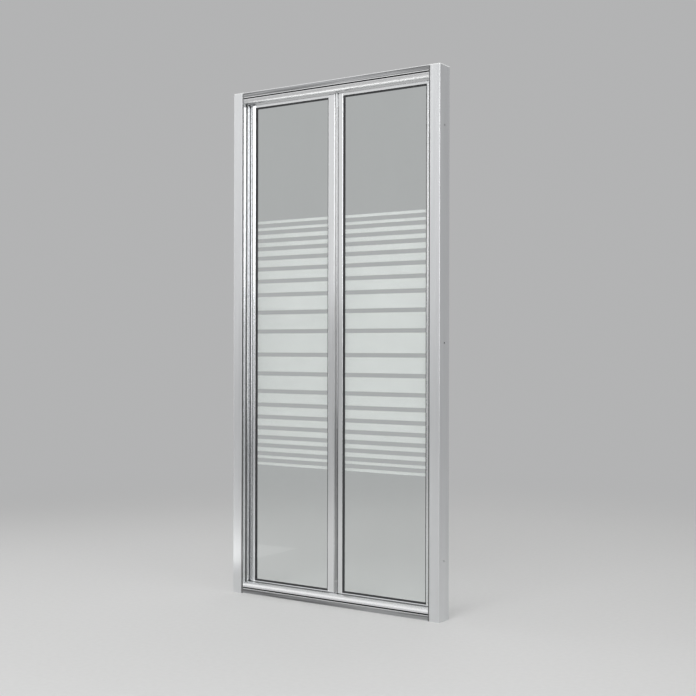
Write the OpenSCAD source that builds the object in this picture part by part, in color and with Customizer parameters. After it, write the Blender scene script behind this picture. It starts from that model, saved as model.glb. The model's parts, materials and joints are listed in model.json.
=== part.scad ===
// Framed bifold shower door: two glazed leaves that fold inwards in a fixed aluminium frame.
// X runs along the door, Y from the outside face into the shower, Z up.
// The origin is on the floor, in the middle of the frame's width and depth.

/* [Frame] */
// Overall width, wall to wall
frame_w = 880; // [760:10:1000]
// Overall height
frame_h = 1850; // [1700:10:1950]
// Overall depth, outside face to shower side
frame_d = 65; // [58.5:0.5:75]

/* [Wall profiles] */
// Width of the flat outer face of each wall profile
wall_face_w = 38; // [35:0.5:42]
// Wall thickness of the wall profile
wall_profile_t = 2; // [1.5:0.1:2.5]
// Radius of the wall profile's outer edges
wall_edge_r = 1; // [0.4:0.1:1.2]
// Thickness of the cap on top of each jamb
cap_t = 3; // [2:0.5:5]
// Depth of the spigots under the caps
cap_plug_l = 12; // [6:1:20]
// Radius of the holes for the wall screws
wall_hole_r = 3; // [2:0.25:3.5]
// Distance between neighbouring wall screws
wall_hole_pitch = 725; // [600:5:780]

/* [Side frames] */
// How far each side frame shows past its wall profile
side_reveal = 6; // [4:0.5:8]
// Width of each side frame, along the door
side_w = 30; // [26:0.5:32]
// Wall thickness of the side frames and rails
side_t = 1.6; // [1.2:0.1:2]
// Depth of the flute along each side frame's inner face
flute_depth = 2.2; // [1:0.1:3]
// Distance from the flute to the screw heads beside it
flute_gap = 2.2; // [1.5:0.1:4]

/* [Rails] */
// Height of the flat brushed fascia of the head and sill rails
fascia_h = 19; // [15:0.5:19.5]
// Height of the dark groove next to the fascia
groove_h = 3; // [2:0.25:4]
// Depth of the groove
groove_depth = 2.7; // [1.5:0.1:4]
// Radius of the rounded nose
nose_r = 19.4; // [19:0.1:20]
// How far the nose stands back from the fascia
nose_setback = 1; // [0:0.1:2]
// Gap between the back of the nose and the hinge barrel
nose_gap = 1; // [0.5:0.1:1.5]
// Inner width of the roller track
track_w = 16; // [16:0.25:17]
// Height of the track over its lips
track_h = 26; // [22:0.5:26.5]
// Width of the slot between the lips
track_slot_w = 9; // [8:0.1:10]
// Height of the rail's wall on the shower side
rear_wall_h = 28; // [20:0.5:28]
// Distance from the outside face to the front screw port
front_port_y = 8.5; // [8.2:0.1:10]

/* [Leaves] */
// Thickness of the leaf frames
leaf_t = 22; // [20:0.5:23]
// Distance from the leaf's shower face to the frame's shower side
leaf_back_gap = 6; // [5.5:0.1:6.5]
// Gap between each leaf's outer edge and the side frame
leaf_side_gap = 2; // [1.9:0.1:3]
// Height of the leaf's lower edge over the floor
leaf_lift = 34; // [33.5:0.25:36]
// Distance of the leaf's upper edge below the frame's top
leaf_drop = 42; // [40:0.5:48]
// Width of the outer stiles
stile_w = 26; // [25.8:0.2:34]
// Width of the left leaf's stile next to the centre hinge
left_hinge_stile_w = 27; // [24:0.5:36]
// Width of the right leaf's stile next to the centre hinge
right_hinge_stile_w = 19; // [18:0.5:32]
// Height of the top and bottom rails of a leaf
leaf_rail_h = 11; // [10.5:0.5:20]
// How far the leaf rails stand back from the stiles, each face
leaf_rail_recess = 0.5; // [0:0.1:1]
// Wall thickness of the leaf profiles
leaf_wall_t = 1.5; // [1.2:0.1:1.8]
// Radius of the stiles' long edges
stile_edge_r = 1.5; // [0.5:0.1:2]
// Width of the bead line on the outer stiles
bead_line_w = 1; // [0.5:0.1:1.5]

/* [Glass] */
// Glass thickness
glass_t = 5; // [4:0.5:6]
// Distance from the leaf's outside face to the middle of the glass
glass_depth = 8; // [7.6:0.1:11]
// How deep the glass sits in the stiles
glass_bite_side = 5.5; // [4:0.5:5.5]
// How deep the glass sits in the leaf rails
glass_bite_rail = 4.2; // [3:0.1:4.2]
// How far the black gasket shows past the metal
gasket_show = 5.5; // [2:0.5:8]
// Gap between one frosted band and the next
band_gap = 15; // [8:0.5:20]
// Band heights from the middle band outwards
band_heights = [70, 55, 50, 35, 30, 25, 20, 15, 15, 10, 10];
// Thickness of the fired print
band_t = 0.15; // [0.05:0.05:0.3]

/* [Hinge and pivots] */
// Distance from the hinge axis to the left leaf's metal edge
left_hinge_gap = 10; // [8:0.25:12]
// Distance from the hinge axis to the right leaf's metal edge
right_hinge_gap = 6.5; // [6.4:0.1:8]
// Outer radius of the hinge barrel
barrel_r = 6; // [5.5:0.1:6.1]
// Radius of the hinge pins
hinge_pin_r = 3; // [2:0.25:3.5]
// Height of the hinge knuckle at each end
knuckle_h = 50; // [30:1:80]
// How far a hinge pin reaches into the long barrel
hinge_pin_reach = 40; // [20:1:60]
// Radius of the pivot and guide pins
pivot_pin_r = 3.5; // [2.5:0.1:3.6]
// How far the pivot pins reach into the leaf
pivot_reach = 28; // [16:1:40]
// Inner radius of the tube along each outer stile
stile_tube_r = 5.5; // [5.3:0.1:5.7]
// Radius of the guide rollers
roller_r = 7.6; // [6.8:0.05:7.7]
// Height of the guide rollers
roller_h = 8; // [5:0.25:9]
// Length of the pivot blocks
pivot_block_l = 42; // [40:0.5:60]

/* [Hidden] */
$fn = 48;

// Clearances
fit_gap = 0.05;      // radial, pins in their bores
slip_gap = 0.1;      // pieces that slide into each other
telescope_gap = 0.3; // side frame in its wall profile
rest_gap = 0.2;      // between a leaf and its washers
wiper_gap = 0.4;     // under the wiper seals
tiny = 0.01;         // lets a cut run past a face

// Frame positions
half_w = frame_w / 2;
side_front_y = wall_profile_t + telescope_gap;
side_back_y = frame_d - side_front_y;
side_in_x = half_w - wall_face_w - side_reveal;
jamb_h = frame_h - cap_t;
fix_levels = [-1, 0, 1];
fix_screw_x = 26;
fix_offset = 60;     // from a wall screw's height to the frame fixing next to it

// Leaf positions
leaf_front_y = frame_d - leaf_back_gap - leaf_t;
leaf_mid_y = leaf_front_y + leaf_t / 2;
leaf_end_x = side_in_x - leaf_side_gap;
leaf_top_z = frame_h - leaf_drop;
leaf_h = leaf_top_z - leaf_lift;
pivot_x = leaf_end_x - leaf_t / 2;
stile_cap_t = 2;
outer_metal_x = leaf_end_x - stile_w;

// Each leaf sets how far its metal edge stands from the hinge axis ($edge_x)
// and how wide its hinge stile is ($stile_w)
function metal_x() = $edge_x + $stile_w;
function rail_l() = outer_metal_x - metal_x();

// Glazing
gasket_t = 2;
slot_half = glass_t / 2 + gasket_t;
slot_depth = glass_bite_side + 1;
rail_slot_depth = glass_bite_rail + 0.8;
glass_y = leaf_front_y + glass_depth;
slot_mid = glass_y - leaf_mid_y; // slot's middle from the middle of the leaf
function glass_w() = rail_l() + 2 * glass_bite_side;
glass_h = leaf_h - 2 * leaf_rail_h + 2 * glass_bite_rail;
glass_z = leaf_lift + leaf_rail_h - glass_bite_rail;
gasket_edge_t = 0.7;
band_lift = 0.03;
band_margin = 0.5;

// Outer stile
tube_wall_t = 1.9;
tube_out_r = stile_tube_r + tube_wall_t;
bead_line_depth = 0.5;
bead_line_inset = 7; // from the stile's inner edge
bead_line_u = stile_w - bead_line_inset;

// Rails
track_floor = 2;
track_wall_t = 2;
lip_t = 2;
port_r = 3.4;
port_stem_w = 3;
nose_back_y = leaf_front_y - barrel_r - nose_gap;
track_front_y = leaf_mid_y - track_w / 2 - track_wall_t;
rear_port_y = (nose_back_y + track_front_y) / 2;
port_positions = [front_port_y, rear_port_y];
nose_base = fascia_h + groove_h;
nose_mid_y = side_front_y + nose_setback + nose_r;
wiper_inset = 5;     // from the leaf's outside face to the middle of the wiper

// Fasteners
corner_screw_r = 2;
corner_head_r = 3.5;
corner_head_h = 2.6;
corner_screw_l = 24;
access_r = corner_head_r + 0.5;
port_h = cap_t + corner_head_r + 1.3;
fix_screw_r = 2;
fix_head_r = 3.8;
fix_screw_l = 12;
flute_w = rear_port_y - front_port_y - 2 * (corner_head_r + flute_gap);
flute_y = (front_port_y + rear_port_y) / 2;
leaf_screw_r = 1.25;
leaf_head_r = 2.4;
leaf_head_h = 1.5;
leaf_screw_l = 17;
hinge_screw_r = 1.7;
hinge_head_r = 3;
hinge_head_h = 1.4;
hinge_screw_l = 10;
block_screw_r = 1.9;
block_head_r = 3.4;
block_head_h = 2.5;
block_screw_steps = [14, 23]; // from the pivot's axis
block_screws_x = [for (step = block_screw_steps) pivot_x - step];

// Hinge
hinge_washer_t = 0.8;
hinge_head_t = 1.6;
hinge_pin_head_r = 5;
web_front = 1.5;     // web's front face behind the hinge axis
web_back = 5.5;      // web's back face behind the hinge axis
hinge_plate_t = 3;
seal_fin_t = 1.5;
seal_fin_inset = 8;  // behind the leaf's outside face
seal_fin_y = leaf_front_y + seal_fin_inset;
meeting_gap = 0.3;   // each side of the middle, between the hinge fins

// Pivots and guides
washer_t = 0.6;
collar_r = 8;
flange_r = 7;
axle_r = 3;
axle_end = 10;
roller_base = 12;
clip_t = 0.8;
clip_r = 5;

// ---------- helpers ----------

// Centres the depth on the origin
module in_frame() {
  translate([0, -frame_d / 2, 0]) children();
}

// Keeps its child on the right and adds its mirror image on the left
module both_sides() {
  children();
  mirror([1, 0, 0]) children();
}

module left_side() {
  mirror([1, 0, 0]) children();
}

module left_leaf() {
  $edge_x = left_hinge_gap;
  $stile_w = left_hinge_stile_w;
  in_frame() left_side() children();
}

module right_leaf() {
  $edge_x = right_hinge_gap;
  $stile_w = right_hinge_stile_w;
  in_frame() children();
}

// Turns a piece drawn from the floor up into one that hangs from the frame's top
module from_top() {
  translate([0, 0, frame_h]) mirror([0, 0, 1]) children();
}

// Rectangle with four rounded corners
module round_box(w, d, r) {
  translate([r, 0]) square([w - 2 * r, d]);
  translate([0, r]) square([w, d - 2 * r]);
  for (x = [r, w - r], y = [r, d - r]) translate([x, y]) circle(r = r);
}

// Extrudes a section drawn in depth and height along X
module along_x(length) {
  rotate([90, 0, 90]) linear_extrude(length) children();
}

// Screw with its head's underside at the origin, head up
module screw(shank_r, shank_l, head_r, head_h) {
  socket_r = head_r * 0.5;
  socket_depth = head_h * 0.6;
  difference() {
    union() {
      translate([0, 0, -shank_l]) cylinder(r = shank_r, h = shank_l + tiny);
      cylinder(r = head_r, h = head_h);
    }
    translate([0, 0, head_h - socket_depth]) cylinder(r = socket_r, h = head_h, $fn = 6);
  }
}

// Ring between two radii
module ring(outer_r, inner_r, h) {
  linear_extrude(h) difference() {
    circle(r = outer_r);
    circle(r = inner_r);
  }
}

// ---------- fixed frame ----------

// Drawn with x = 0 at the middle of the door, on the right-hand side
module wall_profile() {
  difference() {
    translate([half_w, 0]) mirror([1, 0, 0]) linear_extrude(jamb_h) difference() {
      round_box(wall_face_w, frame_d, wall_edge_r);
      translate([wall_profile_t, wall_profile_t])
        square([wall_face_w, frame_d - 2 * wall_profile_t]);
    }
    for (level = fix_levels)
      translate([half_w - wall_profile_t - 1, frame_d / 2, frame_h / 2 + level * wall_hole_pitch])
        rotate([0, 90, 0]) cylinder(r = wall_hole_r, h = wall_profile_t + 2);
    fixing_holes(fix_screw_r + fit_gap);
    fixing_heads(fit_gap + slip_gap, 0);
  }
}

function fix_z(level) = frame_h / 2 + level * (wall_hole_pitch - fix_offset);

module fixing_holes(r) {
  for (level = fix_levels)
    translate([half_w - fix_screw_x, side_back_y - side_t - 1, fix_z(level)])
      rotate([-90, 0, 0]) cylinder(r = r, h = frame_d);
}

// Cones of the countersunk heads in the wall profile's shower side
module fixing_heads(grow, sink) {
  for (level = fix_levels)
    translate([half_w - fix_screw_x, frame_d - wall_profile_t - sink, fix_z(level)])
      rotate([-90, 0, 0])
        cylinder(r1 = fix_screw_r + grow, r2 = fix_head_r + grow, h = wall_profile_t);
}

module side_flute(grow) {
  flute_r = (pow(flute_w / 2, 2) + pow(flute_depth, 2)) / (2 * flute_depth);
  translate([side_in_x - flute_r + flute_depth, flute_y]) circle(r = flute_r + grow, $fn = 96);
}

module side_frame() {
  depth = side_back_y - side_front_y;
  difference() {
    linear_extrude(jamb_h) difference() {
      translate([side_in_x, side_front_y]) round_box(side_w, depth, wall_edge_r);
      difference() {
        translate([side_in_x + side_t, side_front_y + side_t])
          square([side_w - 2 * side_t, depth - 2 * side_t]);
        side_flute(side_t);
      }
      side_flute(0);
    }
    fixing_holes(fix_screw_r + fit_gap);
    for (y = port_positions, z = [port_h, frame_h - port_h]) {
      translate([side_in_x - 1, y, z])
        rotate([0, 90, 0]) cylinder(r = corner_screw_r + fit_gap, h = side_t + 2);
      translate([side_in_x + side_w - side_t - 1, y, z])
        rotate([0, 90, 0]) cylinder(r = access_r, h = side_t + 2);
    }
  }
}

module jamb_cap() {
  inner_w = side_w - 2 * side_t - 2 * slip_gap;
  plug_y = rear_port_y + corner_head_r + 1;
  plug_d = side_back_y - side_t - slip_gap - plug_y;
  translate([side_in_x, 0, jamb_h]) linear_extrude(cap_t)
    round_box(half_w - side_in_x, frame_d, wall_edge_r);
  translate([side_in_x + side_t + slip_gap, plug_y, jamb_h - cap_plug_l])
    linear_extrude(cap_plug_l + tiny) round_box(inner_w, plug_d, 1);
}

// Section of both rails: depth to the right, height up from the frame's outer edge
module rail_section() {
  nose_wall_h = nose_base + sqrt(pow(nose_r, 2) - pow(nose_back_y - nose_mid_y, 2));
  groove_back = side_front_y + groove_depth;
  difference() {
    union() {
      translate([side_front_y, 0]) square([side_back_y - side_front_y, track_floor]);
      translate([side_front_y, 0]) square([track_floor, fascia_h]);
      translate([side_front_y, fascia_h - side_t]) square([groove_depth + side_t, side_t]);
      translate([groove_back, fascia_h - side_t]) square([side_t, groove_h + 2 * side_t]);
      translate([side_front_y + nose_setback, nose_base])
        square([groove_depth - nose_setback + side_t, side_t]);
      intersection() {
        difference() {
          translate([nose_mid_y, nose_base]) circle(r = nose_r, $fn = 96);
          translate([nose_mid_y, nose_base]) circle(r = nose_r - side_t, $fn = 96);
        }
        translate([0, nose_base]) square([nose_back_y, nose_r + 1]);
      }
      translate([nose_back_y - side_t, 0]) square([side_t, nose_wall_h - 0.5]);
      for (side = [-1, 1]) {
        wall_y = leaf_mid_y + side * (track_w + track_wall_t) / 2;
        lip_w = (track_w - track_slot_w) / 2;
        translate([wall_y - track_wall_t / 2, 0]) square([track_wall_t, track_h]);
        translate([leaf_mid_y + side * (track_slot_w + lip_w) / 2 - lip_w / 2, track_h - lip_t])
          square([lip_w, lip_t]);
      }
      translate([side_back_y - side_t, 0]) square([side_t, rear_wall_h]);
      for (y = port_positions) {
        translate([y, port_h]) circle(r = port_r);
        translate([y - port_stem_w / 2, 0]) square([port_stem_w, port_h]);
      }
    }
    for (y = port_positions) translate([y, port_h]) circle(r = corner_screw_r + fit_gap);
  }
}

module rail() {
  difference() {
    translate([-side_in_x, 0, 0]) along_x(2 * side_in_x) rail_section();
    for (x = block_screws_x) translate([-x, leaf_mid_y, -1])
      cylinder(r = block_screw_r + fit_gap, h = track_floor + 2);
  }
}

module corner_screws() {
  for (y = port_positions, z = [port_h, frame_h - port_h])
    translate([side_in_x + side_t, y, z]) rotate([0, 90, 0])
      screw(corner_screw_r, corner_screw_l, corner_head_r, corner_head_h);
}

// Sits flush in the wall profile and threads into the side frame
module fixing_screws() {
  sink = slip_gap;
  fixing_heads(0, sink);
  for (level = fix_levels)
    translate([half_w - fix_screw_x, frame_d - wall_profile_t - sink, fix_z(level)])
      rotate([90, 0, 0]) cylinder(r = fix_screw_r, h = fix_screw_l);
}

// Soft bulb between the left side frame and the pivot edge
module side_bulb() {
  base_w = 6;
  base_t = 0.6;
  bulb_r = leaf_side_gap - 0.5;
  length = leaf_h;
  translate([side_in_x, leaf_mid_y, leaf_lift]) linear_extrude(length) {
    translate([-base_t, -base_w / 2]) square([base_t, base_w]);
    intersection() {
      circle(r = bulb_r);
      translate([-bulb_r, -bulb_r]) square([bulb_r, 2 * bulb_r]);
    }
  }
}

module strike() {
  strike_w = 8;
  strike_t = leaf_side_gap - 0.8;
  translate([side_in_x - strike_t, leaf_mid_y - strike_w / 2, leaf_lift])
    linear_extrude(leaf_h) round_box(strike_t, strike_w, strike_t / 3);
}

// ---------- pivots and guides, drawn at the sill with the leaf's edge at height `edge` ----------

module pivot_block() {
  block_w = track_w - 4 * slip_gap;
  block_h = track_h - lip_t - telescope_gap - track_floor;
  block_end = side_in_x - rest_gap;
  difference() {
    translate([block_end - pivot_block_l, leaf_mid_y - block_w / 2, track_floor])
      linear_extrude(block_h) round_box(pivot_block_l, block_w, 1.5);
    translate([pivot_x, leaf_mid_y, track_floor + 2])
      cylinder(r = pivot_pin_r + fit_gap, h = track_h);
    for (x = block_screws_x) translate([x, leaf_mid_y, 0]) {
      cylinder(r = block_screw_r + fit_gap, h = track_h);
      translate([0, 0, track_floor + block_h - block_head_h - 1])
        cylinder(r = block_head_r + slip_gap, h = track_h);
    }
  }
}

module block_screws() {
  block_h = track_h - lip_t - telescope_gap - track_floor;
  under_head = track_floor + block_h - block_head_h - 1;
  for (x = block_screws_x) translate([x, leaf_mid_y, under_head])
    screw(block_screw_r, under_head - 0.4, block_head_r, block_head_h);
}

module pivot_pin(edge) {
  translate([pivot_x, leaf_mid_y, 0]) {
    translate([0, 0, track_floor + 2.2])
      cylinder(r = pivot_pin_r, h = edge + pivot_reach - track_floor - 2.2);
    translate([0, 0, track_h + telescope_gap])
      cylinder(r = collar_r, h = edge - track_h - telescope_gap - washer_t - rest_gap);
  }
}

module pivot_washer(edge) {
  translate([pivot_x, leaf_mid_y, edge - washer_t - rest_gap])
    ring(collar_r, pivot_pin_r + fit_gap, washer_t);
}

module guide_pin(edge) {
  roller_top = roller_base + roller_h + rest_gap;
  flange_low = edge - 3.9;
  translate([pivot_x, leaf_mid_y, 0]) {
    translate([0, 0, axle_end]) cylinder(r = axle_r, h = roller_top - axle_end + tiny);
    translate([0, 0, roller_top]) cylinder(r = pivot_pin_r, h = edge + pivot_reach - roller_top);
    translate([0, 0, flange_low]) cylinder(r = flange_r, h = edge - flange_low - slip_gap);
  }
}

module guide_roller() {
  crown = 1;
  translate([pivot_x, leaf_mid_y, roller_base]) difference() {
    union() {
      cylinder(r = roller_r - crown, h = roller_h);
      translate([0, 0, crown]) cylinder(r = roller_r, h = roller_h - 2 * crown);
    }
    translate([0, 0, -1]) cylinder(r = axle_r + fit_gap, h = roller_h + 2);
  }
}

module roller_clip() {
  translate([pivot_x, leaf_mid_y, roller_base - rest_gap - clip_t])
    ring(clip_r, axle_r + fit_gap / 2, clip_t);
}

// ---------- leaf, drawn on the right-hand side ----------

// Outline of the outer stile from its full round edge: u inwards, t through the thickness
module outer_stile_outline() {
  round_r = leaf_t / 2;
  translate([round_r, 0]) circle(r = round_r, $fn = 96);
  translate([round_r, -round_r]) square([stile_w - round_r - stile_edge_r, leaf_t]);
  translate([round_r, -round_r + stile_edge_r]) square([stile_w - round_r, leaf_t - 2 * stile_edge_r]);
  for (side = [-1, 1])
    translate([stile_w - stile_edge_r, side * (round_r - stile_edge_r)]) circle(r = stile_edge_r);
}

module outer_stile_section() {
  round_r = leaf_t / 2;
  inner_r = round_r - leaf_wall_t;
  rib_t = 1.4;
  slot_back = slot_mid + slot_half + leaf_wall_t;
  slot_wall_u = stile_w - slot_depth - leaf_wall_t;
  difference() {
    outer_stile_outline();
    difference() {
      union() {
        translate([round_r, 0]) circle(r = inner_r, $fn = 96);
        translate([round_r, -inner_r]) square([stile_w - round_r - leaf_wall_t, 2 * inner_r]);
      }
      translate([round_r, 0]) circle(r = tube_out_r);
      translate([slot_wall_u, -inner_r]) square([slot_depth + leaf_wall_t, inner_r + slot_back]);
      translate([round_r - rib_t / 2, -inner_r]) square([rib_t, 2 * inner_r]);
      translate([round_r, -rib_t / 2]) square([slot_wall_u - round_r + tiny, rib_t]);
    }
    translate([round_r, 0]) circle(r = stile_tube_r);
    translate([stile_w - slot_depth, slot_mid - slot_half])
      square([slot_depth + 1, 2 * slot_half]);
    translate([bead_line_u, -round_r - 1]) square([bead_line_w, 1 + bead_line_depth]);
  }
}

module on_outer_stile(z) {
  translate([leaf_end_x, leaf_mid_y, z]) mirror([1, 0, 0]) children();
}

leaf_screw_rise = 4;  // from the leaf's lower and upper edges
leaf_screw_inset = 3; // from the stiles' edges next to the glass
leaf_screw_levels = [leaf_lift + leaf_screw_rise, leaf_top_z - leaf_screw_rise];
function leaf_screw_x() = [outer_metal_x + leaf_screw_inset, metal_x() - leaf_screw_inset];

module leaf_screw_holes() {
  for (z = leaf_screw_levels) for (x = leaf_screw_x())
    translate([x, leaf_mid_y + leaf_t / 2 - leaf_screw_l, z]) rotate([-90, 0, 0])
      cylinder(r = leaf_screw_r + fit_gap, h = leaf_t + leaf_screw_l);
}

module outer_stile() {
  difference() {
    on_outer_stile(leaf_lift + stile_cap_t)
      linear_extrude(leaf_h - 2 * stile_cap_t) outer_stile_section();
    leaf_screw_holes();
  }
}

// Section of a hinge stile from the edge next to the hinge
module hinge_stile_section() {
  half_t = leaf_t / 2;
  slot_back = slot_mid + slot_half + leaf_wall_t;
  difference() {
    translate([0, -half_t]) round_box($stile_w, leaf_t, stile_edge_r);
    difference() {
      translate([leaf_wall_t, -half_t + leaf_wall_t])
        square([$stile_w - 2 * leaf_wall_t, leaf_t - 2 * leaf_wall_t]);
      translate([$stile_w - slot_depth - leaf_wall_t, -half_t])
        square([slot_depth + leaf_wall_t, half_t + slot_back]);
    }
    translate([$stile_w - slot_depth, slot_mid - slot_half])
      square([slot_depth + 1, 2 * slot_half]);
  }
}

module on_hinge_stile(z) {
  translate([$edge_x, leaf_mid_y, z]) children();
}

module hinge_stile() {
  on_hinge_stile(leaf_lift + stile_cap_t)
    linear_extrude(leaf_h - 2 * stile_cap_t) hinge_stile_section();
}

// Web that joins a barrel to what stands beside it, up to `reach` from the hinge axis
module barrel_web(reach) {
  translate([1, leaf_front_y + web_front]) square([reach - 1, web_back - web_front]);
}

module hinge_barrel(reach) {
  difference() {
    union() {
      translate([0, leaf_front_y]) circle(r = barrel_r);
      barrel_web(reach);
    }
    translate([0, leaf_front_y]) circle(r = hinge_pin_r + fit_gap);
  }
}

barrel_low = leaf_lift + knuckle_h + hinge_washer_t + 2 * fit_gap;
barrel_high = leaf_top_z - knuckle_h - hinge_washer_t - 2 * fit_gap;

module leaf_rail_section() {
  rail_t = leaf_t - 2 * leaf_rail_recess;
  chamber_y = slot_mid + slot_half + leaf_wall_t;
  difference() {
    translate([-rail_t / 2, 0]) round_box(rail_t, leaf_rail_h, 1);
    translate([slot_mid - slot_half, leaf_rail_h - rail_slot_depth])
      square([2 * slot_half, rail_slot_depth + 1]);
    translate([chamber_y, leaf_wall_t])
      square([rail_t / 2 - leaf_wall_t - chamber_y, leaf_rail_h - 2 * leaf_wall_t]);
  }
}

// Bottom rail of a leaf, with a tenon into each stile's slot
module leaf_rail() {
  tenon_half = slot_half - slip_gap;
  tenon_low = stile_cap_t + rest_gap;
  tenon_h = leaf_rail_h - rail_slot_depth - rest_gap - tenon_low;
  tenon_l = slot_depth - rest_gap;
  difference() {
    translate([metal_x(), leaf_mid_y, leaf_lift]) {
      along_x(rail_l()) leaf_rail_section();
      translate([-tenon_l, slot_mid - tenon_half, tenon_low])
        cube([rail_l() + 2 * tenon_l, 2 * tenon_half, tenon_h]);
    }
    leaf_screw_holes();
  }
}

// The same rail turned over, at the leaf's top
module leaf_top_rail() {
  translate([0, 0, leaf_top_z + leaf_lift]) mirror([0, 0, 1]) leaf_rail();
}

module leaf_screws() {
  for (z = leaf_screw_levels) for (x = leaf_screw_x())
    translate([x, leaf_mid_y + leaf_t / 2, z]) rotate([-90, 0, 0])
      screw(leaf_screw_r, leaf_screw_l - 1, leaf_head_r, leaf_head_h);
}

module glass() {
  translate([metal_x() - glass_bite_side, glass_y - glass_t / 2, glass_z])
    cube([glass_w(), glass_t, glass_h]);
}

module glazing_gasket() {
  half_t = slot_half - slip_gap;
  window_w = rail_l() - 2 * gasket_show;
  window_h = leaf_h - 2 * leaf_rail_h - 2 * gasket_show;
  translate([metal_x() - glass_bite_side, glass_y, glass_z]) difference() {
    translate([-gasket_edge_t, -half_t, -gasket_edge_t])
      cube([glass_w() + 2 * gasket_edge_t, 2 * half_t, glass_h + 2 * gasket_edge_t]);
    translate([-fit_gap, -glass_t / 2 - fit_gap, -fit_gap])
      cube([glass_w() + 2 * fit_gap, glass_t + 2 * fit_gap, glass_h + 2 * fit_gap]);
    translate([glass_bite_side + gasket_show, -leaf_t / 2, glass_bite_rail + gasket_show])
      cube([window_w, leaf_t, window_h]);
  }
}

// Distance from the pattern's middle to the middle of band i
function band_offset(i) =
  i == 0 ? 0 : band_offset(i - 1) + (band_heights[i - 1] + band_heights[i]) / 2 + band_gap;

module frosted_bands() {
  band_w = rail_l() - 2 * gasket_show - 2 * band_margin;
  band_x = metal_x() + gasket_show + band_margin;
  band_y = glass_y + glass_t / 2 + band_lift;
  for (i = [0 : len(band_heights) - 1], side = i == 0 ? [1] : [-1, 1])
    translate([band_x, band_y, frame_h / 2 + side * band_offset(i) - band_heights[i] / 2])
      cube([band_w, band_t, band_heights[i]]);
}

// Flanged plug that closes the outer stile's end and carries the pin
module stile_bush() {
  translate([leaf_end_x, leaf_mid_y, leaf_lift]) mirror([1, 0, 0]) difference() {
    union() {
      linear_extrude(stile_cap_t) outer_stile_outline();
      translate([leaf_t / 2, 0, 0])
        cylinder(r = stile_tube_r - slip_gap, h = stile_cap_t + pivot_reach);
    }
    translate([leaf_t / 2, 0, -1])
      cylinder(r = pivot_pin_r + fit_gap, h = stile_cap_t + pivot_reach + 2);
  }
}

module at_leaf_top() {
  translate([0, 0, leaf_top_z + leaf_lift]) mirror([0, 0, 1]) children();
}

// Flange and spigot that close a hinge stile's end
module hinge_stile_cap() {
  plug_w = $stile_w - slot_depth - 3 * leaf_wall_t;
  plug_half = leaf_t / 2 - leaf_wall_t - slip_gap;
  on_hinge_stile(leaf_lift) {
    linear_extrude(stile_cap_t) translate([0, -leaf_t / 2])
      round_box($stile_w, leaf_t, stile_edge_r);
    translate([leaf_wall_t + slip_gap, -plug_half, 0])
      linear_extrude(stile_cap_t + cap_plug_l) round_box(plug_w, 2 * plug_half, 1);
  }
}

module wiper() {
  base_t = 1.2;
  base_w = 6;
  fin_t = 1.2;
  fin_h = leaf_lift - rear_wall_h - wiper_gap;
  wiper_end_gap = 2;
  length = rail_l() - 2 * wiper_end_gap;
  translate([metal_x() + wiper_end_gap, leaf_front_y + wiper_inset, leaf_lift]) {
    translate([0, -base_w / 2, -base_t]) cube([length, base_w, base_t]);
    translate([0, -fin_t / 2, -fin_h]) cube([length, fin_t, fin_h]);
  }
}

// Soft fin on a hinge stile's edge, behind the barrel
module hinge_fin() {
  low = leaf_lift + knuckle_h + 1;
  translate([meeting_gap, seal_fin_y, low])
    cube([$edge_x - meeting_gap, seal_fin_t, leaf_h - 2 * knuckle_h - 2]);
}

// ---------- hinge ----------

bracket_screw_z = [knuckle_h * 0.3, knuckle_h * 0.75];
bracket_screw_inset = 14; // behind the leaf's outside face
bracket_screw_y = leaf_front_y + bracket_screw_inset;

// Knuckle, plate against the stile's edge and cap over its end, in one casting
module hinge_bracket() {
  plate_x = $edge_x - slip_gap - hinge_plate_t;
  plate_y = leaf_front_y + web_front;
  plate_d = leaf_t - web_front - stile_edge_r;
  difference() {
    union() {
      hinge_stile_cap();
      translate([0, 0, leaf_lift]) {
        linear_extrude(knuckle_h) hinge_barrel($edge_x - slip_gap);
        translate([plate_x, plate_y + barrel_r / 2, 0])
          cube([hinge_plate_t, plate_d - barrel_r / 2, knuckle_h]);
        translate([plate_x, plate_y + barrel_r / 2, 0])
          cube([hinge_plate_t + 1, plate_d - barrel_r / 2, stile_cap_t]);
      }
    }
    translate([0, leaf_front_y, leaf_lift - 1])
      cylinder(r = hinge_pin_r + fit_gap, h = knuckle_h + 2);
    for (z = bracket_screw_z)
      translate([plate_x - 1, bracket_screw_y, leaf_lift + z]) rotate([0, 90, 0])
        cylinder(r = hinge_screw_r + fit_gap, h = hinge_plate_t + 2);
    for (z = bracket_screw_z)
      translate([$edge_x, bracket_screw_y, leaf_lift + z]) rotate([0, 90, 0])
        cylinder(r = hinge_screw_r + fit_gap, h = hinge_screw_l);
  }
}

module bracket_screws() {
  plate_x = $edge_x - slip_gap - hinge_plate_t;
  for (z = bracket_screw_z)
    translate([plate_x, bracket_screw_y, leaf_lift + z]) rotate([0, -90, 0])
      screw(hinge_screw_r, hinge_screw_l, hinge_head_r, hinge_head_h);
}

module bracket_screw_holes() {
  for (z = bracket_screw_z)
    translate([$edge_x - 1, bracket_screw_y, leaf_lift + z]) rotate([0, 90, 0])
      cylinder(r = hinge_screw_r + fit_gap, h = leaf_wall_t + 2);
}

module hinge_pin() {
  translate([0, leaf_front_y, leaf_lift]) {
    translate([0, 0, -hinge_head_t]) cylinder(r = hinge_pin_head_r, h = hinge_head_t);
    translate([0, 0, -tiny]) cylinder(r = hinge_pin_r, h = knuckle_h + hinge_pin_reach);
  }
}

module hinge_washer() {
  translate([0, leaf_front_y, leaf_lift + knuckle_h + fit_gap])
    ring(barrel_r, hinge_pin_r + fit_gap, hinge_washer_t);
}

// ---------- one module for each piece ----------

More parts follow.
